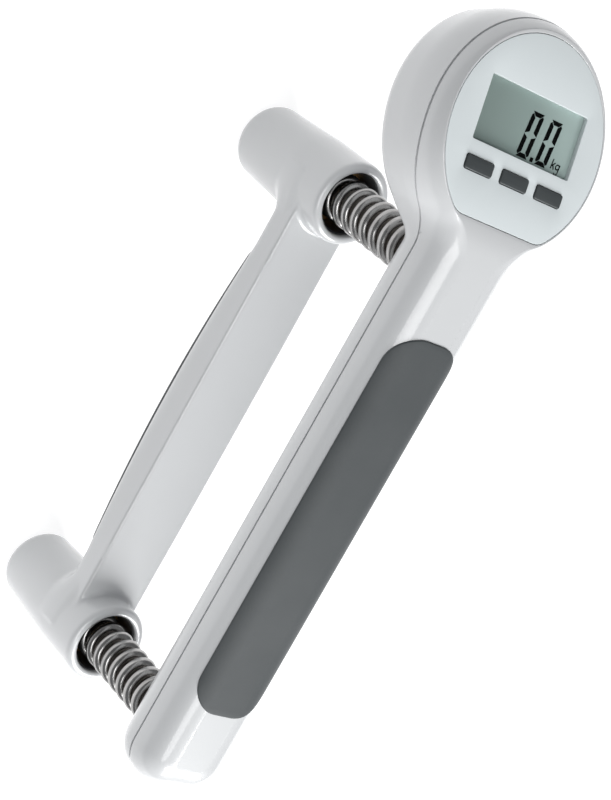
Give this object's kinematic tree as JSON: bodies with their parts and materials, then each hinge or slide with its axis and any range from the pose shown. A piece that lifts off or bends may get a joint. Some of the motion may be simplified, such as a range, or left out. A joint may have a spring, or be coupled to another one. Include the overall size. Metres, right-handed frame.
{
  "type": "hand dynamometer",
  "caption": "Grip-strength meter: a main grip with a round tilted display head slides towards a pull bar on two guide rods against chrome springs.",
  "frame": {"origin": "centre of the bounding box's base: the plane of the two sockets' rear ends, on which the object stands", "axes": "+Z along the springs from the pull bar to the display side, +Y along the grip towards the display head, +X right when reading the display"},
  "size_m": [0.06, 0.2135, 0.0949],
  "materials": {
    "white_plastic": "glossy moulded ABS",
    "grip_rubber": "soft matt rubber",
    "button_rubber": "satin silicone",
    "window": "clear acrylic",
    "display": "reflective liquid crystal panel",
    "black_plastic": "moulded",
    "board": "solder mask",
    "chrome": "polished",
    "steel": "zinc plated",
    "aluminium": "milled",
    "bronze": "sintered bronze",
    "contact_metal": "nickel plated",
    "cell_jacket": "printed-free jacket",
    "wire_jacket": "flexible PVC"
  },
  "bodies": {
    "pull_bar": {"bar_frame": "white_plastic", "bar_pad": "grip_rubber", "guide_bush_upper": "bronze", "guide_bush_lower": "bronze", "socket_cap_upper": "white_plastic", "socket_cap_lower": "white_plastic", "spring_upper": "chrome", "spring_lower": "chrome"},
    "main_grip": {"front_cover": "white_plastic", "rear_cover": "white_plastic", "front_grip_pad": "grip_rubber", "face_plate": "white_plastic", "display_frame": "black_plastic", "display_window": "window", "display_panel": "display", "display_contact_strips": "grip_rubber", "circuit_board": "board", "board_screws": "steel", "tact_switches": "black_plastic", "battery_tray": "black_plastic", "battery_cell_top": "cell_jacket", "battery_cell_bottom": "cell_jacket", "battery_contacts": "contact_metal", "load_beam": "steel", "load_cell": "aluminium", "load_cell_screws": "steel", "load_cell_lead": "wire_jacket", "cover_screws": "steel", "guide_rod_upper": "steel", "guide_rod_lower": "steel", "spring_seat_upper": "steel", "spring_seat_lower": "steel", "rod_nuts": "steel", "stop_washers": "steel", "stop_nuts": "steel"},
    "button_left": {"button_left": "button_rubber"},
    "button_middle": {"button_middle": "button_rubber"},
    "button_right": {"button_right": "button_rubber"},
    "battery_door": {"battery_door": "white_plastic"}
  },
  "joints": [
    {"name": "squeeze", "type": "slide", "parent": "pull_bar", "child": "main_grip", "axis": [0, 0, -1], "range_m": [0, 0.014], "stiffness_N_per_m": 35700, "springref_m": -0.002, "deforming": ["spring_upper", "spring_lower"]},
    {"name": "press_left", "type": "slide", "parent": "main_grip", "child": "button_left", "axis": [0, -0.2857, -0.9583], "range_m": [0, 0.0005], "stiffness_N_per_m": 400, "springref_m": -0.001},
    {"name": "press_middle", "type": "slide", "parent": "main_grip", "child": "button_middle", "axis": [0, -0.2857, -0.9583], "range_m": [0, 0.0005], "stiffness_N_per_m": 400, "springref_m": -0.001},
    {"name": "press_right", "type": "slide", "parent": "main_grip", "child": "button_right", "axis": [0, -0.2857, -0.9583], "range_m": [0, 0.0005], "stiffness_N_per_m": 400, "springref_m": -0.001},
    {"name": "door_lift", "type": "slide", "parent": "main_grip", "child": "battery_door", "axis": [0, -0.2857, -0.9583], "range_m": [0, 0.012]}
  ]
}
